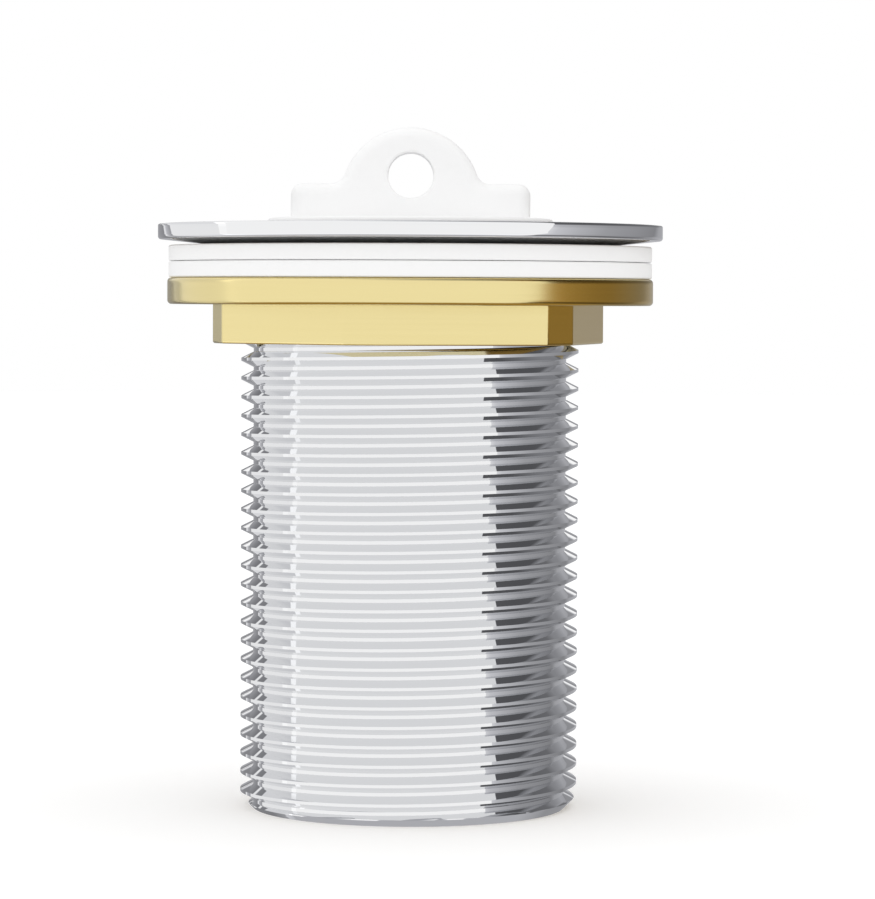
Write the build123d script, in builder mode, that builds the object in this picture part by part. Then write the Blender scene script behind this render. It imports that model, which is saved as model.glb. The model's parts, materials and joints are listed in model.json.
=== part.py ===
from build123d import *
from math import sqrt
import os

# A plug-and-chain basin waste for a 1 1/4 inch outlet, standing on the end of its tail.
# Five pieces share one vertical axis: a flanged waste body, a moulded plug with a chain tab,
# two flat washers and a flanged back nut. The origin is on the axis, at the end of the tail.

# Waste body: the tail, drawn at the crests of its thread, and the outlet bore
THREAD_DIAMETER = 41.6
TAIL_LENGTH = 69.25
TAIL_LEAD = 1.5
TAIL_WALL = 4.8

# Waste body: the flange and its dish
FLANGE_DIAMETER = 62.1
RIM_THICKNESS = 1.83
RIM_EDGE = 0.3
RIM_LAND = 1.3
HUB_LAND = 3.2
UNDERSIDE_RISE = 0.72
DISH_DEPTH = 1.2

# Waste body: the plug seat and the cross bars at its foot
SEAT_DEPTH = 10.0
SEAT_FLARE = 1.0
SEAT_LEDGE = 0.5
BAR_WIDTH = 2.6
BAR_DEPTH = 3.0
BAR_LIFT = 0.5
BAR_ROOT = 1.0

# Plug: the tapered cup that fills the seat
PLUG_STANDS_PROUD = 0.82
PLUG_EDGE = 0.5
PLUG_WALL = 2.6
CROWN_THICKNESS = 3.0
SEAT_CLEARANCE = 0.1
BAR_CLEARANCE = 1.0

# Plug: the chain tab, with its heights taken from the top of the cup
TAB_WIDTH = 29.4
TAB_THICKNESS = 6.0
TAB_EDGE = 1.0
TAB_ROOT = 1.5
SHOULDER_RISE = 4.26
SHOULDER_CORNER = 1.5
ARCH_RADIUS = 8.6
ARCH_TOP_RISE = 11.17
ARCH_COVE = 1.75
EYE_DIAMETER = 5.6
EYE_RISE = 5.28

# Washers: cut to the nut's flange, a little inside its edge
WASHER_INSET = 0.15
WASHER_THICKNESS = 2.0
WASHER_EDGE = 0.2
WASHER_CLEARANCE = 0.35

# Flanged nut: the corner flats stand further out than the wrench flats
NUT_FLANGE_DIAMETER = 59.8
NUT_FLANGE_THICKNESS = 3.25
NUT_FLANGE_EDGE = 0.5
NUT_CLEARANCE = 0.15
NUT_WALL = 1.4
CORNER_STEP = 2.15
HEX_HEIGHT = 4.75
HEX_EDGE = 0.27
HEX_SIDES = 6
NUT_ANGLE = 17.0

# Radii that follow from the sizes above
thread_r = THREAD_DIAMETER / 2
bore_r = thread_r - TAIL_WALL
flange_r = FLANGE_DIAMETER / 2
hub_r = thread_r + HUB_LAND
seat_end_r = bore_r + SEAT_LEDGE
seat_top_r = seat_end_r + SEAT_FLARE
nut_bore_r = thread_r + NUT_CLEARANCE
nut_flange_r = NUT_FLANGE_DIAMETER / 2
flat_r = nut_bore_r + NUT_WALL
corner_r = flat_r + CORNER_STEP
washer_r = nut_flange_r - WASHER_INSET

# Heights, from the flange's rim down to the nut
rim_bottom_z = TAIL_LENGTH + UNDERSIDE_RISE
rim_top_z = rim_bottom_z + RIM_THICKNESS
seat_top_z = rim_top_z - DISH_DEPTH
seat_end_z = seat_top_z - SEAT_DEPTH
bar_bottom_z = seat_end_z + BAR_LIFT
plug_top_z = rim_top_z + PLUG_STANDS_PROUD
plug_end_z = bar_bottom_z + BAR_DEPTH + BAR_CLEARANCE
crown_z = plug_top_z - CROWN_THICKNESS
upper_washer_z = TAIL_LENGTH - WASHER_THICKNESS
lower_washer_z = upper_washer_z - WASHER_THICKNESS
nut_flange_z = lower_washer_z - NUT_FLANGE_THICKNESS
nut_bottom_z = nut_flange_z - HEX_HEIGHT

os.makedirs("parts", exist_ok=True)


# Waste body: one turned section, with cross bars cast across the throat
with BuildPart() as waste_body:
    with BuildSketch(Plane.XZ) as body_section:
        with BuildLine():
            Polyline(
                (seat_top_r, seat_top_z),
                (seat_end_r, seat_end_z),
                (bore_r, seat_end_z),
                (bore_r, 0),
                (thread_r - TAIL_LEAD, 0),
                (thread_r, TAIL_LEAD),
                (thread_r, TAIL_LENGTH),
                (hub_r, TAIL_LENGTH),
                (flange_r, rim_bottom_z),
                (flange_r, rim_top_z),
                (flange_r - RIM_LAND, rim_top_z),
                close=True,
            )
        make_face()
        rim_corners = body_section.vertices().group_by(Axis.X)[-1]
        chamfer(rim_corners, RIM_EDGE)
    revolve(axis=Axis.Z)
    with BuildSketch(Plane.XY.offset(bar_bottom_z)):
        bar_length = 2 * (seat_end_r + BAR_ROOT)
        Rectangle(bar_length, BAR_WIDTH)
        Rectangle(BAR_WIDTH, bar_length)
    extrude(amount=BAR_DEPTH)
waste_body.part.label = "waste_body"
export_step(waste_body.part, "parts/waste_body.step")


# Plug: a cup that tapers with its seat, hollow underneath, and a flat tab for the chain
with BuildPart() as plug:
    seat_taper = SEAT_FLARE / SEAT_DEPTH
    plug_top_r = seat_top_r - SEAT_CLEARANCE + seat_taper * (plug_top_z - seat_top_z)
    plug_end_r = seat_top_r - SEAT_CLEARANCE - seat_taper * (seat_top_z - plug_end_z)
    hollow_r = plug_end_r - PLUG_WALL
    with BuildSketch(Plane.XZ) as plug_section:
        with BuildLine():
            Polyline(
                (0, plug_top_z),
                (plug_top_r, plug_top_z),
                (plug_end_r, plug_end_z),
                (hollow_r, plug_end_z),
                (hollow_r, crown_z),
                (0, crown_z),
                close=True,
            )
        make_face()
        chamfer(plug_section.vertices().sort_by(Axis.X)[-1], PLUG_EDGE)
    revolve(axis=Axis.Z)
    with BuildSketch(Plane.XZ) as tab_outline:
        tab_half = TAB_WIDTH / 2
        tab_foot_z = plug_top_z - TAB_ROOT
        shoulder_top_z = plug_top_z + SHOULDER_RISE
        arch_top_z = plug_top_z + ARCH_TOP_RISE
        arch_centre_z = arch_top_z - ARCH_RADIUS
        arch_foot = sqrt(ARCH_RADIUS**2 - (shoulder_top_z - arch_centre_z) ** 2)
        with BuildLine():
            Polyline(
                (-arch_foot, shoulder_top_z),
                (-tab_half, shoulder_top_z),
                (-tab_half, tab_foot_z),
                (tab_half, tab_foot_z),
                (tab_half, shoulder_top_z),
                (arch_foot, shoulder_top_z),
            )
            ThreePointArc((-arch_foot, shoulder_top_z), (0, arch_top_z), (arch_foot, shoulder_top_z))
        make_face()
        shoulder_line = tab_outline.vertices().group_by(Axis.Y)[-1].sort_by(Axis.X)
        fillet(shoulder_line[1:3], ARCH_COVE)
        tab_ends = tab_outline.vertices().group_by(Axis.X)
        top_corners = [end.sort_by(Axis.Y)[-1] for end in (tab_ends[0], tab_ends[-1])]
        fillet(top_corners, SHOULDER_CORNER)
    extrude(amount=TAB_THICKNESS / 2, both=True)
    tab_sides = plug.faces().filter_by(Axis.Y).sort_by(Axis.Y)
    tab_edges = tab_sides[0].edges() + tab_sides[-1].edges()
    chamfer([edge for edge in tab_edges if edge.center().Z > plug_top_z + TAB_EDGE], TAB_EDGE)
    with BuildSketch(Plane.XZ):
        with Locations((0, plug_top_z + EYE_RISE)):
            Circle(EYE_DIAMETER / 2)
    extrude(amount=TAB_THICKNESS, both=True, mode=Mode.SUBTRACT)
plug.part.label = "plug"
export_step(plug.part, "parts/plug.step")


# Washers: two alike, stacked under the flange
for name, washer_z in (("upper_washer", upper_washer_z), ("lower_washer", lower_washer_z)):
    with BuildPart() as washer:
        with BuildSketch(Plane.XY.offset(washer_z)):
            Circle(washer_r)
            Circle(thread_r + WASHER_CLEARANCE, mode=Mode.SUBTRACT)
        extrude(amount=WASHER_THICKNESS)
        outer_edges = washer.edges().filter_by(GeomType.CIRCLE).group_by(SortBy.RADIUS)[-1]
        chamfer(outer_edges, WASHER_EDGE)
    washer.part.label = name
    export_step(washer.part, f"parts/{name}.step")


# Flanged nut: a hexagon with its corners cut flat, under a round flange
with BuildPart() as flanged_nut:
    with BuildSketch(Plane.XY.offset(nut_bottom_z)):
        half_side_angle = 180 / HEX_SIDES
        RegularPolygon(flat_r, HEX_SIDES, major_radius=False, rotation=NUT_ANGLE)
        RegularPolygon(
            corner_r,
            HEX_SIDES,
            major_radius=False,
            rotation=NUT_ANGLE + half_side_angle,
            mode=Mode.INTERSECT,
        )
    extrude(amount=HEX_HEIGHT)
    chamfer(flanged_nut.faces().sort_by(Axis.Z)[0].edges(), HEX_EDGE)
    with BuildSketch(Plane.XY.offset(nut_flange_z)):
        Circle(nut_flange_r)
    extrude(amount=NUT_FLANGE_THICKNESS)
    chamfer(flanged_nut.edges().filter_by(GeomType.CIRCLE), NUT_FLANGE_EDGE)
    with BuildSketch(Plane.XY.offset(nut_bottom_z)):
        Circle(nut_bore_r)
    extrude(amount=HEX_HEIGHT + NUT_FLANGE_THICKNESS, mode=Mode.SUBTRACT)
flanged_nut.part.label = "flanged_nut"
export_step(flanged_nut.part, "parts/flanged_nut.step")
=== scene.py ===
"""A basin waste with its plug, washers and back nut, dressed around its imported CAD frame.

Every size is in metres, in the frame of the CAD part: the axis of the waste is the Z axis
and the tail stands on the floor at z = 0.
"""

import json
import logging
import math
from collections.abc import Callable, Iterable
from dataclasses import dataclass
from enum import Enum
from typing import Any

import bmesh
import bpy
from bmesh.types import BMEdge, BMesh, BMFace, BMVert
from mathutils import Matrix, Vector

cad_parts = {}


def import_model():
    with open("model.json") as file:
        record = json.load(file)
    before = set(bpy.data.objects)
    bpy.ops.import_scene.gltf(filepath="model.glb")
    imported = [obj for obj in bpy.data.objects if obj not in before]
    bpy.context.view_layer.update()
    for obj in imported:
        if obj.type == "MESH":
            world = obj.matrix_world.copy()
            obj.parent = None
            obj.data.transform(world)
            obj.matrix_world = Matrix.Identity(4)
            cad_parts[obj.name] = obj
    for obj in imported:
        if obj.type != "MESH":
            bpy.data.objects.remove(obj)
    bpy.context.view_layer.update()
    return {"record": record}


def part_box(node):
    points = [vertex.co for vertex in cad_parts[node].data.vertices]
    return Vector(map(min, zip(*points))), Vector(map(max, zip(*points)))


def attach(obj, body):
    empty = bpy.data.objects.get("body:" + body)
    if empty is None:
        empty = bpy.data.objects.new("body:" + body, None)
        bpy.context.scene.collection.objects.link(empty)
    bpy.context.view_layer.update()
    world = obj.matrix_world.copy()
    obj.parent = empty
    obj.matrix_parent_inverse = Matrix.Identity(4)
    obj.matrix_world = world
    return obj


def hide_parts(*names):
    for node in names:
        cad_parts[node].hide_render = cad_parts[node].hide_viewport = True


LOG = logging.getLogger("basin_waste")

MM = 0.001
MERGE_DISTANCE = 0.002 * MM
TURN_STEPS = 180
CORNER_SEGMENTS = 6
ROUND_PROFILE = 0.5
GRAIN_DETAIL = 3.0
SHARP_ANGLE = math.radians(28.0)
QUARTER_TURN = math.pi / 2
UP = Vector((0.0, 0.0, 1.0))
ORIGIN = Vector((0.0, 0.0, 0.0))

Colour = tuple[float, float, float]

WHITE: Colour = (1.0, 1.0, 1.0)


class Body(Enum):
    """The CAD bodies that the pieces ride on."""

    WASTE = "waste"
    WASHERS = "washers"
    NUT = "nut"


class Slot(Enum):
    """The record's material slots."""

    CHROME = "chrome_plate"
    PLUG = "white_plug"
    WASHER = "white_washer"
    BRASS = "brass"


class Grain(Enum):
    """How a surface's fine grain lies: the scale of its pattern along X, Y and Z."""

    TURNED = (0.05, 0.05, 3.0)
    MOULDED = (1.0, 1.0, 1.0)


@dataclass(frozen=True)
class Corner:
    """A point of an outline, by its radius and height, and how far its corner is cut back."""

    radius: float
    height: float
    cut_back: float = 0.0


@dataclass(frozen=True)
class Finish:
    """A surface finish: its slot in the record and the values of its shader.

    Colours are linear. Roughness runs between two values and the colour between two tones,
    both by the grain.
    """

    name: str
    slot: Slot
    colour: Colour
    worn_colour: Colour
    metallic: float
    roughness: tuple[float, float]
    grain: Grain
    grain_scale: float
    grain_strength: float
    grain_depth: float

    def material(self) -> bpy.types.Material:
        """Builds the material, or gives it again if it is already built.

        Returns:
            The material, with its grain on Object coordinates.
        """
        found = bpy.data.materials.get(self.name)
        if found is not None:
            return found
        material = bpy.data.materials.new(self.name)
        material.use_nodes = True
        tree = material.node_tree
        shader = tree.nodes["Principled BSDF"]
        shader.inputs["Metallic"].default_value = self.metallic
        place = tree.nodes.new("ShaderNodeTexCoord")
        lay = tree.nodes.new("ShaderNodeMapping")
        lay.inputs["Scale"].default_value = self.grain.value
        grain = tree.nodes.new("ShaderNodeTexNoise")
        grain.inputs["Scale"].default_value = self.grain_scale
        grain.inputs["Detail"].default_value = GRAIN_DETAIL
        tone = tree.nodes.new("ShaderNodeMix")
        tone.data_type = "RGBA"
        tone.inputs["A"].default_value = (*self.colour, 1.0)
        tone.inputs["B"].default_value = (*self.worn_colour, 1.0)
        sheen = tree.nodes.new("ShaderNodeMapRange")
        sheen.inputs["To Min"].default_value = self.roughness[0]
        sheen.inputs["To Max"].default_value = self.roughness[1]
        relief = tree.nodes.new("ShaderNodeBump")
        relief.inputs["Strength"].default_value = self.grain_strength
        relief.inputs["Distance"].default_value = self.grain_depth
        tree.links.new(place.outputs["Object"], lay.inputs["Vector"])
        tree.links.new(lay.outputs["Vector"], grain.inputs["Vector"])
        tree.links.new(grain.outputs["Fac"], tone.inputs["Factor"])
        tree.links.new(grain.outputs["Fac"], sheen.inputs["Value"])
        tree.links.new(grain.outputs["Fac"], relief.inputs["Height"])
        tree.links.new(tone.outputs["Result"], shader.inputs["Base Color"])
        tree.links.new(sheen.outputs["Result"], shader.inputs["Roughness"])
        tree.links.new(relief.outputs["Normal"], shader.inputs["Normal"])
        return material


CHROME_PLATE = Finish(
    name="bright_chrome",
    slot=Slot.CHROME,
    colour=(0.866, 0.870, 0.878),
    worn_colour=(0.859, 0.863, 0.871),
    metallic=1.0,
    roughness=(0.0, 0.0005),
    grain=Grain.TURNED,
    grain_scale=900.0,
    grain_strength=0.002,
    grain_depth=0.001 * MM,
)
WHITE_PLUG = Finish(
    name="moulded_white",
    slot=Slot.PLUG,
    colour=(0.95, 0.95, 0.95),
    worn_colour=(0.93, 0.93, 0.93),
    metallic=0.0,
    roughness=(0.34, 0.44),
    grain=Grain.MOULDED,
    grain_scale=1400.0,
    grain_strength=0.06,
    grain_depth=0.01 * MM,
)
WHITE_WASHER = Finish(
    name="pressed_white",
    slot=Slot.WASHER,
    colour=(0.95, 0.95, 0.95),
    worn_colour=(0.93, 0.93, 0.93),
    metallic=0.0,
    roughness=(0.48, 0.60),
    grain=Grain.MOULDED,
    grain_scale=2200.0,
    grain_strength=0.08,
    grain_depth=0.01 * MM,
)
BRIGHT_BRASS = Finish(
    name="bright_brass",
    slot=Slot.BRASS,
    colour=(0.862, 0.737, 0.372),
    worn_colour=(0.842, 0.713, 0.347),
    metallic=1.0,
    roughness=(0.16, 0.22),
    grain=Grain.TURNED,
    grain_scale=700.0,
    grain_strength=0.05,
    grain_depth=0.004 * MM,
)


def round_off(
    bm: BMesh, geom: list[Any], offset: float, segments: int, affect: str = "EDGES"
) -> None:
    """Rounds some edges of a mesh, or some points of an outline.

    Args:
        bm: The mesh.
        geom: The edges or points.
        offset: How far each is cut back.
        segments: How many steps the rounding has.
        affect: EDGES or VERTICES, whichever geom holds.
    """
    bmesh.ops.bevel(
        bm,
        geom=geom,
        offset=offset,
        offset_type="OFFSET",
        segments=segments,
        profile=ROUND_PROFILE,
        affect=affect,
        material=-1,
        clamp_overlap=True,
    )


def shift(bm: BMesh, parts: Iterable[Any], way: Vector) -> None:
    """Moves the points among some parts of a mesh.

    Args:
        bm: The mesh.
        parts: The points, with any edges and faces that an operator gave with them.
        way: How far they move.
    """
    points = [part for part in parts if isinstance(part, BMVert)]
    bmesh.ops.translate(bm, verts=points, vec=way)


def draw_outline(bm: BMesh, corners: Iterable[Corner], closed: bool = False) -> None:
    """Draws an outline as a chain of edges in the plane y = 0 and rounds its corners.

    Args:
        bm: The mesh that gets the chain.
        corners: The outline's points, in order.
        closed: Whether the last point joins the first.
    """
    corners = list(corners)
    verts = [bm.verts.new((corner.radius, 0.0, corner.height)) for corner in corners]
    for pair in zip(verts, verts[1:]):
        bm.edges.new(pair)
    if closed:
        bm.edges.new((verts[-1], verts[0]))
    for cut_back in {corner.cut_back for corner in corners} - {0.0}:
        cut = [vert for vert, corner in zip(verts, corners) if corner.cut_back == cut_back]
        round_off(bm, cut, cut_back, CORNER_SEGMENTS, "VERTICES")


def turn(bm: BMesh) -> None:
    """Spins a whole outline once round the Z axis and closes its seam and poles.

    Args:
        bm: The mesh, with the outline and nothing else in it.
    """
    bmesh.ops.spin(
        bm,
        geom=bm.verts[:] + bm.edges[:],
        cent=ORIGIN,
        axis=UP,
        angle=math.tau,
        steps=TURN_STEPS,
        use_merge=True,
    )
    bmesh.ops.remove_doubles(bm, verts=bm.verts[:], dist=MERGE_DISTANCE)


def cut_level(bm: BMesh, faces: Iterable[BMFace], height: float, side: float = 0.0) -> None:
    """Cuts faces along a level plane, and clears one side of it where that is asked.

    Args:
        bm: The mesh.
        faces: The faces to cut.
        height: The plane's height.
        side: 1 clears what is above the plane, -1 what is below, 0 nothing.
    """
    faces = list(faces)
    edges = {edge for face in faces for edge in face.edges}
    verts = {vert for face in faces for vert in face.verts}
    bmesh.ops.bisect_plane(
        bm,
        geom=list(verts) + list(edges) + faces,
        dist=MERGE_DISTANCE,
        plane_co=UP * height,
        plane_no=UP * (side or 1.0),
        clear_outer=side != 0.0,
    )


def open_edges(bm: BMesh, height: float) -> list[BMEdge]:
    """Finds the open edges of a mesh at a height.

    Args:
        bm: The mesh.
        height: Where the edges lie.

    Returns:
        The edges with one face whose ends are both at that height.
    """
    return [
        edge
        for edge in bm.edges
        if edge.is_boundary
        and all(abs(vert.co.z - height) < MERGE_DISTANCE for vert in edge.verts)
    ]


def join(bm: BMesh, other: BMesh) -> None:
    """Moves another mesh's geometry into a mesh, as a shell of its own.

    Args:
        bm: The mesh that gets the shell.
        other: The shell's mesh, which is freed.
    """
    bmesh.ops.recalc_face_normals(other, faces=other.faces[:])
    carrier = bpy.data.meshes.new("carrier")
    other.to_mesh(carrier)
    other.free()
    bm.from_mesh(carrier)
    bpy.data.meshes.remove(carrier)


def make_piece(bm: BMesh, name: str, body: Body, node: str, finish: Finish) -> bpy.types.Object:
    """Makes a finished mesh a piece of the object, in place of a CAD node.

    Args:
        bm: The mesh, which is freed.
        name: The piece's name.
        body: The body that it rides on.
        node: The CAD node that it stands for.
        finish: Its finish.

    Returns:
        The new object.
    """
    for face in bm.faces:
        face.smooth = True
    for edge in bm.edges:
        if edge.calc_face_angle(0.0) > SHARP_ANGLE:
            edge.smooth = False
    mesh = bpy.data.meshes.new(name)
    bm.to_mesh(mesh)
    bm.free()
    mesh.materials.append(finish.material())
    piece = bpy.data.objects.new(name, mesh)
    bpy.context.scene.collection.objects.link(piece)
    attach(piece, body.value)
    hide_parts(node)
    LOG.info("%s: %d faces, rides on %s", name, len(mesh.polygons), body.value)
    return piece


@dataclass(frozen=True)
class Thread:
    """The pipe thread of the tail, which the nut shares: a right-hand helix about the Z axis."""

    crest_r: float = 20.795 * MM
    root_r: float = 19.27 * MM
    pitch: float = 2.309 * MM
    phase: float = 0.962 * MM
    crest_flat: float = 0.37 * MM
    root_flat: float = 0.42 * MM
    steps: int = 120
    end_levels: int = 12
    spare_turns: int = 2

    def wind(self, low: float, high: float, clearance: float = 0.0) -> BMesh:
        """Winds the thread's section between two heights.

        Args:
            low: The height of its foot.
            high: The height of its head.
            clearance: How far the section stands out from the tail's own.

        Returns:
            The thread's surface, open at both ends.
        """
        crest_r, root_r = self.crest_r + clearance, self.root_r + clearance
        turns_below = math.floor((low - self.phase) / self.pitch) - self.spare_turns
        first_crest = self.phase + self.pitch * turns_below
        turns = math.ceil((high - low) / self.pitch) + 2 * self.spare_turns
        half_crest, half_pitch = self.crest_flat / 2, self.pitch / 2
        root_end = half_pitch - self.root_flat / 2
        bm = bmesh.new()
        draw_outline(
            bm,
            [
                Corner(root_r, first_crest - half_pitch),
                Corner(root_r, first_crest - root_end),
                Corner(crest_r, first_crest - half_crest),
                Corner(crest_r, first_crest + half_crest),
                Corner(root_r, first_crest + root_end),
                Corner(root_r, first_crest + half_pitch),
            ],
        )
        bmesh.ops.spin(
            bm,
            geom=bm.verts[:] + bm.edges[:],
            cent=ORIGIN,
            axis=UP,
            dvec=UP * (self.pitch / self.steps),
            angle=math.tau,
            steps=self.steps,
        )
        first_turn = bm.verts[:] + bm.edges[:] + bm.faces[:]
        for turn_above in range(1, turns):
            copied = bmesh.ops.duplicate(bm, geom=first_turn)["geom"]
            shift(bm, copied, UP * (self.pitch * turn_above))
        bmesh.ops.remove_doubles(bm, verts=bm.verts[:], dist=MERGE_DISTANCE)
        cut_level(bm, bm.faces, low, side=-1.0)
        cut_level(bm, bm.faces, high, side=1.0)
        return bm

    def turn_end(
        self, bm: BMesh, end: float, depth: float, limit: Callable[[float, float], float]
    ) -> None:
        """Turns a bevel on one end of the thread.

        Args:
            bm: The thread's surface.
            end: The height of that end.
            depth: How far the bevel reaches along the thread, upwards if above zero.
            limit: Gives a point's new radius from its radius and its distance from the end.
        """
        for level in range(1, self.end_levels + 1):
            height = end + depth * level / self.end_levels
            near = [
                face
                for face in bm.faces
                if abs(face.calc_center_median().z - height) < self.pitch
            ]
            cut_level(bm, near, height)
        for vert in bm.verts:
            distance = (vert.co.z - end) * math.copysign(1.0, depth)
            if distance < abs(depth):
                radius = vert.co.xy.length
                vert.co.xy = vert.co.xy * (limit(radius, distance) / radius)


PIPE_THREAD = Thread()


@dataclass
class WasteBody:
    """The chromed waste: flange, dish, plug seat, cross bars, outlet bore and threaded tail."""

    flange_r: float
    rim_top: float
    hub_face: float
    bore_r: float
    bore_length: float
    rim_thickness: float = 1.83 * MM
    rim_top_edge: float = 0.18 * MM
    rim_foot_edge: float = 0.3 * MM
    rim_crown: float = 0.007 * MM
    rim_rows: int = 8
    rim_land: float = 1.3 * MM
    hub_r: float = 24.0 * MM
    dish_depth: float = 1.2 * MM
    seat_ledge: float = 0.5 * MM
    seat_flare: float = 1.0 * MM
    soft_edge: float = 0.3 * MM
    lead: float = 1.5 * MM
    bar_half_width: float = 1.3 * MM
    bar_depth: float = 3.0 * MM
    bar_lift: float = 0.5 * MM
    bar_reach: float = 17.1 * MM
    bar_segments: int = 2

    def build(self) -> bpy.types.Object:
        """Builds the waste as one piece.

        Returns:
            The piece.
        """
        bm = PIPE_THREAD.wind(0.0, self.hub_face)
        PIPE_THREAD.turn_end(
            bm,
            0.0,
            self.lead,
            lambda radius, distance: min(radius, PIPE_THREAD.root_r + distance),
        )
        join(bm, self._turned_shell())
        for height in (0.0, self.hub_face):
            bmesh.ops.bridge_loops(bm, edges=open_edges(bm, height))
        bmesh.ops.recalc_face_normals(bm, faces=bm.faces[:])
        join(bm, self._cross_bars())
        return make_piece(bm, "waste_turning", Body.WASTE, "waste_body", CHROME_PLATE)

    def _turned_shell(self) -> BMesh:
        """Turns the flange, seat and bore, open where the thread joins them.

        Returns:
            The shell's mesh.
        """
        seat_end_r = self.bore_r + self.seat_ledge
        seat_top_r = seat_end_r + self.seat_flare
        seat_top = self.rim_top - self.dish_depth
        rim_bottom = self.rim_top - self.rim_thickness
        side_top = self.rim_top - self.rim_top_edge
        side_foot = rim_bottom + self.rim_foot_edge
        rows = [row / self.rim_rows for row in range(1, self.rim_rows)]
        bm = bmesh.new()
        draw_outline(
            bm,
            [
                Corner(self.bore_r, 0.0),
                Corner(self.bore_r, self.bore_length, self.soft_edge),
                Corner(seat_end_r, self.bore_length),
                Corner(seat_top_r, seat_top, self.soft_edge),
                Corner(self.flange_r - self.rim_land, self.rim_top, self.soft_edge),
                Corner(self.flange_r - self.rim_crown, self.rim_top, self.rim_top_edge),
                *(
                    Corner(
                        self.flange_r - self.rim_crown * (2 * row - 1) ** 2,
                        side_top + (side_foot - side_top) * row,
                    )
                    for row in rows
                ),
                Corner(self.flange_r - self.rim_crown, rim_bottom, self.rim_foot_edge),
                Corner(self.hub_r, self.hub_face),
            ],
        )
        turn(bm)
        return bm

    def _cross_bars(self) -> BMesh:
        """Makes the cross of bars that spans the throat, with rounded edges.

        Returns:
            The cross's mesh, with its ends let into the wall.
        """
        near, far = self.bar_half_width, self.bar_reach
        arm = [Vector((far, -near)), Vector((far, near)), Vector((near, near))]
        bm = bmesh.new()
        bottom = self.bore_length + self.bar_lift
        quarters = [Matrix.Rotation(turned * QUARTER_TURN, 2) for turned in range(4)]
        ring = [
            bm.verts.new((*(quarter @ point), bottom)) for quarter in quarters for point in arm
        ]
        cross = bm.faces.new(ring)
        raised = bmesh.ops.extrude_face_region(bm, geom=[cross])["geom"]
        shift(bm, raised, UP * self.bar_depth)
        round_off(bm, bm.edges[:], self.soft_edge, self.bar_segments)
        return bm


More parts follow.
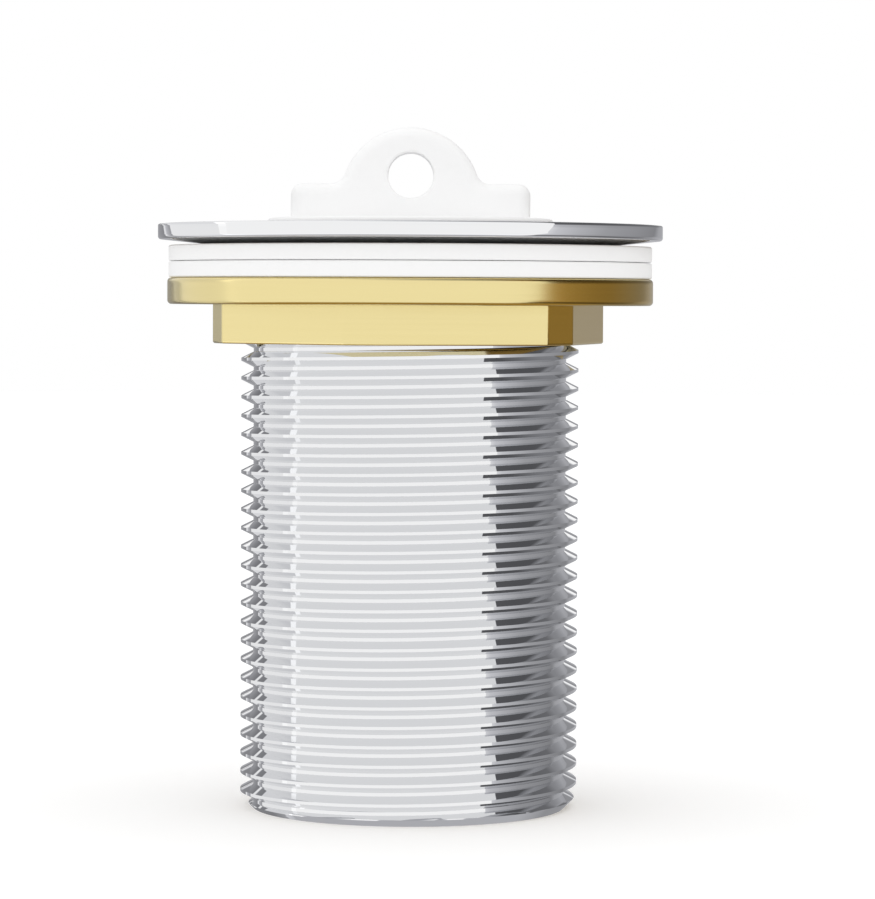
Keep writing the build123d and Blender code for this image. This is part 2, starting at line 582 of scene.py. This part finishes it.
@dataclass
class Plug:
    """The white plug: a tapered cup, hollow underneath, and a flat tab with a chain eye."""

    rim_top: float
    eye_r: float
    eye_height: float
    tab_top: float
    stands_proud: float = 0.82 * MM
    top_r: float = 17.602 * MM
    end_r: float = 16.85 * MM
    end: float = 65.1 * MM
    wall: float = 2.6 * MM
    crown: float = 3.0 * MM
    cup_edge: float = 0.5 * MM
    hollow_corner: float = 1.2 * MM
    tab_half_width: float = 14.7 * MM
    tab_thickness: float = 6.0 * MM
    tab_root: float = 1.5 * MM
    tab_rounding: float = 1.45 * MM
    rounding_rows: int = 8
    shoulder_rise: float = 4.26 * MM
    shoulder_corner: float = 1.5 * MM
    arch_r: float = 8.6 * MM
    cove_r: float = 1.75 * MM
    eye_lip: float = 0.25 * MM
    eye_steps: int = 72
    arc_steps: int = 24

    @property
    def top(self) -> float:
        """The height of the cup's flat top."""
        return self.rim_top + self.stands_proud

    def build(self) -> bpy.types.Object:
        """Builds the plug as one piece.

        Returns:
            The piece.
        """
        bm = self._cup()
        join(bm, self._tab())
        return make_piece(bm, "plug_moulding", Body.WASTE, "plug", WHITE_PLUG)

    def _cup(self) -> BMesh:
        """Turns the cup.

        Returns:
            The cup's mesh.
        """
        hollow_r = self.end_r - self.wall
        bm = bmesh.new()
        draw_outline(
            bm,
            [
                Corner(0.0, self.top),
                Corner(self.top_r, self.top, self.cup_edge),
                Corner(self.end_r, self.end, self.cup_edge),
                Corner(hollow_r, self.end, self.cup_edge),
                Corner(hollow_r, self.top - self.crown, self.hollow_corner),
                Corner(0.0, self.top - self.crown),
            ],
        )
        turn(bm)
        bmesh.ops.recalc_face_normals(bm, faces=bm.faces[:])
        return bm

    def _sweep(self, bm: BMesh, start: BMVert, centre: Vector, angle: float) -> BMVert:
        """Draws an arc of the tab's outline from a point.

        Args:
            bm: The mesh.
            start: The arc's first point.
            centre: The arc's centre.
            angle: How far it turns about the Y axis.

        Returns:
            The arc's last point.
        """
        swept = bmesh.ops.spin(
            bm,
            geom=[start],
            cent=centre,
            axis=(0.0, 1.0, 0.0),
            angle=angle,
            steps=self.arc_steps,
        )
        return next(part for part in swept["geom_last"] if isinstance(part, BMVert))

    def _draw_tab(self, bm: BMesh) -> None:
        """Draws the tab's outline in the plane y = 0: arch, coves, shoulders and foot.

        Args:
            bm: The mesh, which is empty.
        """
        shoulder = self.top + self.shoulder_rise
        arch_centre = Vector((0.0, 0.0, self.tab_top - self.arch_r))
        cove_height = shoulder + self.cove_r
        reach = self.arch_r + self.cove_r
        cove_rise = cove_height - arch_centre.z
        cove_centre = Vector((math.sqrt(reach**2 - cove_rise**2), 0.0, cove_height))
        arch_angle = math.acos(cove_rise / reach)
        corner_x = self.tab_half_width - self.shoulder_corner
        corner_centre = Vector((corner_x, 0.0, shoulder - self.shoulder_corner))
        foot = self.top - self.tab_root
        point = bm.verts.new((0.0, 0.0, self.tab_top))
        point = self._sweep(bm, point, arch_centre, arch_angle)
        point = self._sweep(bm, point, cove_centre, -arch_angle)
        corner = bm.verts.new((corner_x, 0.0, shoulder))
        bm.edges.new((point, corner))
        point = self._sweep(bm, corner, corner_centre, QUARTER_TURN)
        foot_end = bm.verts.new((self.tab_half_width, 0.0, foot))
        foot_middle = bm.verts.new((0.0, 0.0, foot))
        bm.edges.new((point, foot_end))
        bm.edges.new((foot_end, foot_middle))
        bmesh.ops.mirror(
            bm,
            geom=bm.verts[:] + bm.edges[:],
            merge_dist=MERGE_DISTANCE,
            axis="X",
        )
        bmesh.ops.remove_doubles(bm, verts=bm.verts[:], dist=MERGE_DISTANCE)

    def _round_side(self, bm: BMesh, cap: BMFace) -> list[BMEdge]:
        """Rounds the rim of one side of the tab by insets, and opens that side.

        Args:
            bm: The tab's mesh.
            cap: The flat face of that side.

        Returns:
            The edges of the open side.
        """
        step = QUARTER_TURN / self.rounding_rows
        for row in range(self.rounding_rows):
            inward = math.cos(row * step) - math.cos((row + 1) * step)
            outward = math.sin((row + 1) * step) - math.sin(row * step)
            bmesh.ops.inset_region(
                bm,
                faces=[cap],
                thickness=self.tab_rounding * inward,
                depth=self.tab_rounding * outward,
                use_even_offset=True,
            )
        edges = cap.edges[:]
        bmesh.ops.delete(bm, geom=[cap], context="FACES_ONLY")
        return edges

    def _line_eye(self, bm: BMesh) -> list[BMEdge]:
        """Turns the wall of the eye, with rounded lips.

        Args:
            bm: The tab's mesh.

        Returns:
            The open edges of the wall, on both sides of the tab.
        """
        half = self.tab_thickness / 2
        lining = bmesh.new()
        draw_outline(
            lining,
            [
                Corner(self.eye_r + 2 * self.eye_lip, half),
                Corner(self.eye_r, half, self.eye_lip),
                Corner(self.eye_r, -half, self.eye_lip),
                Corner(self.eye_r + 2 * self.eye_lip, -half),
            ],
        )
        bmesh.ops.spin(
            lining,
            geom=lining.verts[:] + lining.edges[:],
            cent=ORIGIN,
            axis=UP,
            angle=math.tau,
            steps=self.eye_steps,
            use_merge=True,
        )
        laid = Matrix.Translation(UP * self.eye_height) @ Matrix.Rotation(QUARTER_TURN, 4, "X")
        bmesh.ops.transform(lining, matrix=laid, verts=lining.verts[:])
        known = set(bm.edges)
        join(bm, lining)
        return [edge for edge in bm.edges if edge not in known and edge.is_boundary]

    def _tab(self) -> BMesh:
        """Makes the tab: its outline raised to both sides, its rim rounded and its eye cut.

        Returns:
            The tab's mesh.
        """
        bm = bmesh.new()
        self._draw_tab(bm)
        flat_half = self.tab_thickness / 2 - self.tab_rounding
        outline = bm.edges[:]
        raised = bmesh.ops.extrude_edge_only(bm, edges=outline)["geom"]
        back = [part for part in raised if isinstance(part, BMEdge)]
        shift(bm, bm.verts[:], Vector((0.0, -flat_half, 0.0)))
        shift(bm, raised, Vector((0.0, 2 * flat_half, 0.0)))
        caps = [
            bmesh.ops.contextual_create(bm, geom=edges)["faces"][0] for edges in (outline, back)
        ]
        bmesh.ops.recalc_face_normals(bm, faces=bm.faces[:])
        open_sides = [edge for cap in caps for edge in self._round_side(bm, cap)]
        lips = self._line_eye(bm)
        for facing in (-1.0, 1.0):
            rim = [
                edge
                for edge in open_sides + lips
                if edge.is_valid and edge.verts[0].co.y * facing > flat_half
            ]
            bmesh.ops.triangle_fill(
                bm, edges=rim, use_beauty=True, use_dissolve=False, normal=(0.0, facing, 0.0)
            )
        bmesh.ops.remove_doubles(bm, verts=bm.verts[:], dist=MERGE_DISTANCE)
        return bm


@dataclass
class Washer:
    """A flat white washer."""

    node: str
    outer_r: float
    bottom: float
    top: float
    bore_r: float = 21.15 * MM
    edge: float = 0.25 * MM
    relief: float = 0.035 * MM
    relief_width: float = 3.0 * MM

    def build(self) -> bpy.types.Object:
        """Builds the washer as one piece.

        Returns:
            The piece.
        """
        middle = (self.bottom + self.top) / 2
        face_r = self.outer_r - self.relief_width
        bm = bmesh.new()
        draw_outline(
            bm,
            [
                Corner(self.bore_r, self.bottom),
                Corner(face_r, self.bottom),
                Corner(self.outer_r, self.bottom + self.relief, self.edge),
                Corner(self.outer_r, middle),
                Corner(self.outer_r, self.top - self.relief, self.edge),
                Corner(face_r, self.top),
                Corner(self.bore_r, self.top),
            ],
            closed=True,
        )
        turn(bm)
        bmesh.ops.recalc_face_normals(bm, faces=bm.faces[:])
        return make_piece(bm, f"{self.node}_ring", Body.WASHERS, self.node, WHITE_WASHER)


@dataclass
class BackNut:
    """The brass back nut: a round flange over a hexagon with its corners cut flat."""

    flange_r: float
    bottom: float
    top: float
    bore_r: float = 20.95 * MM
    thread_clearance: float = 0.1 * MM
    face_inner_r: float = 21.3 * MM
    flange_thickness: float = 3.25 * MM
    flange_edge: float = 0.5 * MM
    flange_rows: int = 10
    flange_face_r: float = 26.5 * MM
    flat_r: float = 22.35 * MM
    corner_r: float = 24.5 * MM
    sides: int = 6
    turned: float = math.radians(17.0)
    hex_edge: float = 0.15 * MM
    bottom_edge: float = 0.27 * MM
    edge_segments: int = 3
    least_rise: float = 1.0 * MM
    least_flat: float = MM * MM

    def build(self) -> bpy.types.Object:
        """Builds the nut as one piece.

        Returns:
            The piece.
        """
        flange_bottom = self.top - self.flange_thickness
        bm = self._bore()
        join(bm, self._hexagon(flange_bottom))
        join(bm, self._flange(flange_bottom))
        for height in (self.bottom, flange_bottom, self.top):
            bmesh.ops.bridge_loops(bm, edges=open_edges(bm, height))
        bmesh.ops.recalc_face_normals(bm, faces=bm.faces[:])
        return make_piece(bm, "back_nut", Body.NUT, "flanged_nut", BRIGHT_BRASS)

    def _bore(self) -> BMesh:
        """Winds the nut's own thread, with a countersink at each end.

        Returns:
            The bore's mesh, open at both ends.
        """
        bm = PIPE_THREAD.wind(self.bottom, self.top, self.thread_clearance)
        depth = self.bore_r - PIPE_THREAD.root_r - self.thread_clearance
        for end, reach in ((self.bottom, depth), (self.top, -depth)):
            PIPE_THREAD.turn_end(
                bm, end, reach, lambda radius, distance: max(radius, self.bore_r - distance)
            )
        return bm

    def _flange(self, flange_bottom: float) -> BMesh:
        """Turns the flange, open at the bore and under the flange.

        Args:
            flange_bottom: The height of the flange's underside.

        Returns:
            The shell's mesh.
        """
        middle = (flange_bottom + self.top) / 2
        half_side = self.flange_thickness / 2 - self.flange_edge
        side_steps = [1 - 2 * row / self.flange_rows for row in range(1, self.flange_rows)]
        bm = bmesh.new()
        draw_outline(
            bm,
            [
                Corner(self.face_inner_r, self.top),
                Corner(self.flange_r, self.top, self.flange_edge),
                *(Corner(self.flange_r, middle + half_side * step) for step in side_steps),
                Corner(self.flange_r, flange_bottom, self.flange_edge),
                Corner(self.flange_face_r, flange_bottom),
            ],
        )
        turn(bm)
        return bm

    def _hexagon(self, flange_bottom: float) -> BMesh:
        """Makes the hexagon's sides, open at its top and bottom.

        Args:
            flange_bottom: The height that the sides rise to.

        Returns:
            The mesh, with crisp flats and small edge rounds.
        """
        bm = bmesh.new()
        sixth = math.tau / self.sides
        bmesh.ops.create_circle(
            bm,
            cap_ends=True,
            radius=self.flat_r / math.cos(sixth / 2),
            segments=self.sides,
            matrix=Matrix.Translation(UP * self.bottom)
            @ Matrix.Rotation(self.turned - sixth / 2, 4, "Z"),
        )
        for corner in range(self.sides):
            angle = self.turned + corner * sixth
            outward = Vector((math.cos(angle), math.sin(angle), 0.0))
            bmesh.ops.bisect_plane(
                bm,
                geom=bm.verts[:] + bm.edges[:] + bm.faces[:],
                dist=MERGE_DISTANCE,
                plane_co=outward * self.corner_r,
                plane_no=outward,
                clear_outer=True,
            )
        lifted = bmesh.ops.extrude_edge_only(bm, edges=bm.edges[:])["geom"]
        shift(bm, lifted, UP * (flange_bottom - self.bottom))
        upright = [
            edge
            for edge in bm.edges
            if abs(edge.verts[0].co.z - edge.verts[1].co.z) > self.least_rise
        ]
        round_off(bm, upright, self.hex_edge, self.edge_segments)
        floor = min(bm.faces, key=lambda face: face.calc_center_median().z)
        round_off(bm, floor.edges[:], self.bottom_edge, self.edge_segments)
        floor = min(bm.faces, key=lambda face: face.calc_center_median().z)
        bmesh.ops.delete(bm, geom=[floor], context="FACES_ONLY")
        for face in bm.faces:
            if face.calc_area() > self.least_flat:
                for edge in face.edges:
                    edge.smooth = False
        return bm


@dataclass(frozen=True)
class PhotoCamera:
    """The camera, at the photograph's place and angle. Lengths in the image are pixels."""

    place: tuple[float, float, float] = (0.0, -468.157 * MM, 62.948 * MM)
    yaw: float = 0.00736
    pitch: float = -0.0401
    roll: float = -0.0045
    focal: float = 3791.903
    image_side: float = 899.0
    sensor: float = 36.0

    def build(self) -> bpy.types.Object:
        """Makes the camera and gives it to the scene.

        Returns:
            The camera.
        """
        data = bpy.data.cameras.new("photo_camera")
        data.sensor_width = self.sensor
        data.lens = self.focal * self.sensor / self.image_side
        data.clip_start = MM
        forward = Vector(
            (
                math.sin(self.yaw) * math.cos(self.pitch),
                math.cos(self.yaw) * math.cos(self.pitch),
                math.sin(self.pitch),
            )
        )
        level = Vector((math.cos(self.yaw), -math.sin(self.yaw), 0.0))
        down = forward.cross(level)
        right = math.cos(self.roll) * level + math.sin(self.roll) * down
        lower = math.cos(self.roll) * down - math.sin(self.roll) * level
        axes = Matrix((right, -lower, -forward)).transposed()
        camera = bpy.data.objects.new("photo_camera", data)
        camera.matrix_world = Matrix.Translation(self.place) @ axes.to_4x4()
        bpy.context.scene.collection.objects.link(camera)
        bpy.context.scene.camera = camera
        return camera


@dataclass(frozen=True)
class Tone:
    """A grey of the room round the object, at an azimuth in degrees from the camera's side.

    The level holds at the height of the horizon, and the off level well above and below it.
    """

    azimuth: float
    level: float
    off_level: float


ROOM = (
    Tone(-180.0, 0.45, 0.27),
    Tone(-148.7, 0.28, 0.22),
    Tone(-147.9, 0.86, 1.0),
    Tone(-145.4, 0.78, 1.0),
    Tone(-144.5, 0.58, 0.28),
    Tone(-137.9, 0.35, 0.25),
    Tone(-137.1, 0.90, 0.82),
    Tone(-95.8, 0.90, 0.82),
    Tone(-95.2, 1.05, 1.35),
    Tone(-90.9, 1.05, 1.35),
    Tone(-90.3, 1.0, 1.0),
    Tone(63.5, 1.0, 1.0),
    Tone(63.9, 0.76, 0.13),
    Tone(67.9, 0.635, 0.13),
    Tone(79.0, 0.52, 0.12),
    Tone(97.0, 0.385, 0.12),
    Tone(143.0, 0.26, 0.18),
    Tone(151.0, 0.40, 0.30),
    Tone(180.0, 0.50, 0.32),
)


@dataclass(frozen=True)
class Graph:
    """Adds nodes to a shader tree and joins them."""

    tree: bpy.types.NodeTree

    def feed(self, socket: bpy.types.NodeSocket, value: Any) -> None:
        """Gives an input a value: another node's output, or a constant.

        Args:
            socket: The input.
            value: The output to link, or the constant to set.
        """
        if isinstance(value, bpy.types.NodeSocket):
            self.tree.links.new(value, socket)
        else:
            socket.default_value = value

    def math(self, operation: str, *values: Any) -> bpy.types.NodeSocket:
        """Adds a Math node.

        Args:
            operation: The node's operation.
            values: Its inputs, outputs of other nodes or numbers.

        Returns:
            The node's output.
        """
        node = self.tree.nodes.new("ShaderNodeMath")
        node.operation = operation
        for socket, value in zip(node.inputs, values):
            self.feed(socket, value)
        return node.outputs["Value"]

    def share(self, value: Any, start: float, end: float) -> bpy.types.NodeSocket:
        """Adds a Map Range node that rises from 0 to 1 between two values.

        Args:
            value: The value to map.
            start: Where the result is 0.
            end: Where the result is 1.

        Returns:
            The node's output.
        """
        node = self.tree.nodes.new("ShaderNodeMapRange")
        self.feed(node.inputs["Value"], value)
        self.feed(node.inputs["From Min"], start)
        self.feed(node.inputs["From Max"], end)
        return node.outputs["Result"]

    def blend(self, share: Any, first: Any, second: Any) -> bpy.types.NodeSocket:
        """Adds a Mix node on two levels.

        Args:
            share: How much of the second level shows.
            first: The first level.
            second: The second level.

        Returns:
            The node's output.
        """
        node = self.tree.nodes.new("ShaderNodeMix")
        for name, value in (("Factor", share), ("A", first), ("B", second)):
            self.feed(node.inputs[name], value)
        return node.outputs["Result"]

    def colours(self, share: Any, first: Any, second: Any) -> bpy.types.NodeSocket:
        """Adds a Mix node on two colours.

        Args:
            share: How much of the second colour shows.
            first: The first colour, an output of another node or three numbers.
            second: The second colour, likewise.

        Returns:
            The node's output.
        """
        node = self.tree.nodes.new("ShaderNodeMix")
        node.data_type = "RGBA"
        self.feed(node.inputs["Factor"], share)
        for name, value in (("A", first), ("B", second)):
            self.feed(node.inputs[name], (*value, 1.0) if isinstance(value, tuple) else value)
        return node.outputs["Result"]


@dataclass(frozen=True)
class Studio:
    """A white tent round the object, open to a grey room at the right and the back.

    The tent's right edge leans with height: all the way up in what lights the object, and up
    to the horizon in what shows in its metal. The left side leans only just above the
    horizon. A narrow white backdrop stands behind the object. The room's shade is cool in
    bright plate and warm in duller metal, and the ground is darker than the tent.

    Heights run from -1, straight down, to 1, and azimuths are in radians from the camera's
    side. A span runs from where something begins to where it has its full share.
    """

    right_lean: float = 0.9
    right_foot: float = -0.10
    right_step: float = 0.06
    right_step_span: tuple[float, float] = (-0.005, 0.045)
    left_lean: float = 2.6
    left_from: float = math.radians(84.0)
    left_foot: float = 0.0
    left_top: float = 0.12
    side_span: tuple[float, float] = (0.01, -0.01)
    dusk_above: tuple[float, float] = (0.025, 0.075)
    dusk_below: tuple[float, float] = (-0.10, -0.28)
    backdrop_side: tuple[float, float] = (math.radians(168.0), math.radians(170.0))
    backdrop_foot: tuple[float, float] = (0.12, 0.14)
    backdrop_top: tuple[float, float] = (0.5, 0.4)
    soften: float = 0.75
    fill: float = 0.11
    shade_colour: Colour = (0.945, 0.95, 1.0)
    shade_span: tuple[float, float] = (0.6, 0.95)
    warm_colour: Colour = (0.73, 0.495, 0.18)
    warm_from: tuple[float, float] = (math.radians(50.0), math.radians(58.0))
    warm_to: tuple[float, float] = (math.radians(176.0), math.radians(108.0))
    ceiling_level: float = 0.64
    ceiling_fall: float = 0.8
    ceiling_span: tuple[float, float] = (0.4, 0.75)
    ground_level: float = 0.48
    ground_span: tuple[float, float] = (-0.52, -0.72)
    floor_half: float = 2.0
    floor_colour: Colour = (0.90, 0.90, 0.90)
    floor_mottle: Colour = (0.905, 0.905, 0.905)
    floor_scale: float = 40.0
    floor_lift: float = 0.18

    def build(self) -> None:
        """Makes the world and the floor, and sets the view transform."""
        bpy.context.scene.view_settings.view_transform = "Standard"
        self._light_room()
        self._lay_floor()

    def _light_room(self) -> None:
        """Makes the world: the room by azimuth for the object, and plain white behind it."""
        world = bpy.data.worlds.new("white_tent")
        bpy.context.scene.world = world
        world.use_nodes = True
        graph = Graph(world.node_tree)
        way = world.node_tree.nodes.new("ShaderNodeTexCoord")
        parts = world.node_tree.nodes.new("ShaderNodeSeparateXYZ")
        path = world.node_tree.nodes.new("ShaderNodeLightPath")
        graph.feed(parts.inputs["Vector"], way.outputs["Generated"])
        across, along, height = parts.outputs
        azimuth = graph.math("ARCTAN2", across, graph.math("MULTIPLY", along, -1.0))
        lighting = path.outputs["Is Diffuse Ray"]
        room = self._tone_room(graph, azimuth, height, lighting)
        room = graph.math("MAXIMUM", room, self._backdrop(graph, azimuth, height))
        ceiling = graph.math("MULTIPLY_ADD", across, -self.ceiling_fall, self.ceiling_level)
        above = graph.math(
            "MULTIPLY",
            graph.share(height, *self.ceiling_span),
            graph.math("SUBTRACT", 1.0, lighting),
        )
        room = graph.blend(above, room, graph.math("MINIMUM", ceiling, 1.0))
        ground = graph.share(height, *self.ground_span)
        room = graph.blend(ground, room, self.ground_level)
        room = graph.blend(graph.math("MULTIPLY", lighting, self.soften), room, 1.0)
        room = graph.math("MULTIPLY", room, graph.math("MULTIPLY_ADD", lighting, self.fill, 1.0))
        shown = graph.math("MAXIMUM", room, path.outputs["Is Camera Ray"])
        dull = graph.math(
            "MULTIPLY",
            path.outputs["Is Glossy Ray"],
            graph.math("SUBTRACT", 1.0, path.outputs["Is Singular Ray"]),
        )
        shade = self._shade(graph, azimuth, ground, dull)
        tone = graph.colours(graph.share(shown, *self.shade_span), shade, WHITE)
        background = world.node_tree.nodes["Background"]
        graph.feed(background.inputs["Color"], tone)
        graph.feed(background.inputs["Strength"], shown)

    def _tone_room(self, graph: Graph, azimuth: Any, height: Any, lighting: Any) -> Any:
        """Gives the room's tones by azimuth, each with its off level away from the horizon.

        Args:
            graph: The world's nodes.
            azimuth: The azimuth that is looked to.
            height: The height that is looked to.
            lighting: 1 for what lights the object, 0 for what shows in its metal.

        Returns:
            The room's level.
        """
        around = graph.blend(
            graph.share(azimuth, *self.side_span),
            self._right_side(graph, azimuth, height, lighting),
            self._left_side(graph, azimuth, height),
        )
        level, off_level = ROOM[0].level, ROOM[0].off_level
        for near, far in zip(ROOM, ROOM[1:]):
            share = graph.share(around, math.radians(near.azimuth), math.radians(far.azimuth))
            level = graph.math("MULTIPLY_ADD", share, far.level - near.level, level)
            off_level = graph.math(
                "MULTIPLY_ADD", share, far.off_level - near.off_level, off_level
            )
        off = graph.math(
            "MAXIMUM",
            graph.share(height, *self.dusk_above),
            graph.share(height, *self.dusk_below),
        )
        return graph.blend(off, level, off_level)

    def _backdrop(self, graph: Graph, azimuth: Any, height: Any) -> Any:
        """Sets the white backdrop behind the object.

        Args:
            graph: The world's nodes.
            azimuth: The azimuth that is looked to.
            height: The height that is looked to.

        Returns:
            The backdrop's level.
        """
        upright = graph.math(
            "MULTIPLY",
            graph.share(height, *self.backdrop_foot),
            graph.share(height, *self.backdrop_top),
        )
        behind = graph.share(graph.math("ABSOLUTE", azimuth), *self.backdrop_side)
        return graph.math("MULTIPLY", behind, upright)

    def _shade(self, graph: Graph, azimuth: Any, ground: Any, dull: Any) -> Any:
        """Colours the room's shade: warm at the right and the ground for duller metal.

        Args:
            graph: The world's nodes.
            azimuth: The azimuth that is looked to.
            ground: The ground's share.
            dull: 1 for what shows in duller metal, 0 for all else.

        Returns:
            The shade's colour.
        """
        right = graph.math(
            "MULTIPLY",
            graph.share(azimuth, *self.warm_from),
            graph.share(azimuth, *self.warm_to),
        )
        warm = graph.math("MULTIPLY", dull, graph.math("MAXIMUM", right, ground))
        return graph.colours(warm, self.shade_colour, self.warm_colour)

    def _right_side(self, graph: Graph, azimuth: Any, height: Any, lighting: Any) -> Any:
        """Leans the tent's right side.

        Args:
            graph: The world's nodes.
            azimuth: The azimuth that is looked to.
            height: The height that is looked to.
            lighting: 1 for what lights the object, 0 for what shows in its metal.

        Returns:
            The azimuth with the lean taken out.
        """
        rise = graph.math("MAXIMUM", graph.math("MINIMUM", height, lighting), self.right_foot)
        upright = graph.math("MULTIPLY_ADD", rise, -self.right_lean, 1.0)
        step = graph.share(height, *self.right_step_span)
        return graph.math(
            "MULTIPLY", azimuth, graph.math("MULTIPLY_ADD", step, -self.right_step, upright)
        )

    def _left_side(self, graph: Graph, azimuth: Any, height: Any) -> Any:
        """Leans the tent's left side towards its back.

        Args:
            graph: The world's nodes.
            azimuth: The azimuth that is looked to.
            height: The height that is looked to.

        Returns:
            The azimuth with the lean taken out.
        """
        rise = graph.math("MAXIMUM", graph.math("MINIMUM", height, self.left_top), self.left_foot)
        past = graph.math("SUBTRACT", graph.math("ABSOLUTE", azimuth), self.left_from)
        lean = graph.math("MULTIPLY", rise, graph.math("MAXIMUM", past, 0.0))
        return graph.math("MULTIPLY_ADD", lean, self.left_lean, azimuth)

    def _lay_floor(self) -> None:
        """Lays the pale floor, which shows white to the camera and keeps the shadow."""
        bm = bmesh.new()
        bmesh.ops.create_grid(bm, x_segments=1, y_segments=1, size=self.floor_half)
        mesh = bpy.data.meshes.new("pale_floor")
        bm.to_mesh(mesh)
        bm.free()
        mesh.materials.append(self._floor_material())
        floor = bpy.data.objects.new("pale_floor", mesh)
        floor.visible_glossy = False
        bpy.context.scene.collection.objects.link(floor)

    def _floor_material(self) -> bpy.types.Material:
        """Builds the floor's material: matt, faintly mottled and lifted for the camera.

        Returns:
            The material.
        """
        material = bpy.data.materials.new("pale_floor")
        material.use_nodes = True
        tree = material.node_tree
        graph = Graph(tree)
        place = tree.nodes.new("ShaderNodeTexCoord")
        mottle = tree.nodes.new("ShaderNodeTexNoise")
        path = tree.nodes.new("ShaderNodeLightPath")
        graph.feed(mottle.inputs["Vector"], place.outputs["Object"])
        graph.feed(mottle.inputs["Scale"], self.floor_scale)
        tone = graph.colours(mottle.outputs["Fac"], self.floor_colour, self.floor_mottle)
        lift = graph.math("MULTIPLY", path.outputs["Is Camera Ray"], self.floor_lift)
        shader = tree.nodes["Principled BSDF"]
        shader.inputs["Roughness"].default_value = 1.0
        shader.inputs["Specular IOR Level"].default_value = 0.0
        shader.inputs["Emission Color"].default_value = (*WHITE, 1.0)
        graph.feed(shader.inputs["Base Color"], tone)
        graph.feed(shader.inputs["Emission Strength"], lift)
        return material


def mount(record: dict[str, Any], name: str) -> dict[str, Any]:
    """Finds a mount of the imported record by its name.

    Args:
        record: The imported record.
        name: The mount's name.

    Returns:
        The mount's entry.
    """
    return next(entry for entry in record["mounts"] if entry["name"] == name)


def main() -> None:
    """Loads the frame, builds the pieces around it and sets up the studio and the camera."""
    logging.basicConfig(level=logging.INFO, format="%(message)s")
    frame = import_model()
    record = frame["record"]
    waste_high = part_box("waste_body")[1]
    plug_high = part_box("plug")[1]
    nut_low, nut_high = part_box("flanged_nut")
    outlet = mount(record, "outlet_bore")["dims"]
    eye = mount(record, "chain_eye")
    WasteBody(
        flange_r=waste_high.x,
        rim_top=waste_high.z,
        hub_face=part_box("upper_washer")[1].z,
        bore_r=outlet["r_mm"] * MM,
        bore_length=outlet["length_mm"] * MM,
    ).build()
    Plug(
        rim_top=waste_high.z,
        eye_r=eye["dims"]["r_mm"] * MM,
        eye_height=eye["pos_m"][2],
        tab_top=plug_high.z,
    ).build()
    for node in ("upper_washer", "lower_washer"):
        low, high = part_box(node)
        Washer(node=node, outer_r=high.x, bottom=low.z, top=high.z).build()
    BackNut(flange_r=nut_high.x, bottom=nut_low.z, top=nut_high.z).build()
    Studio().build()
    PhotoCamera().build()


if __name__ == "__main__":
    main()
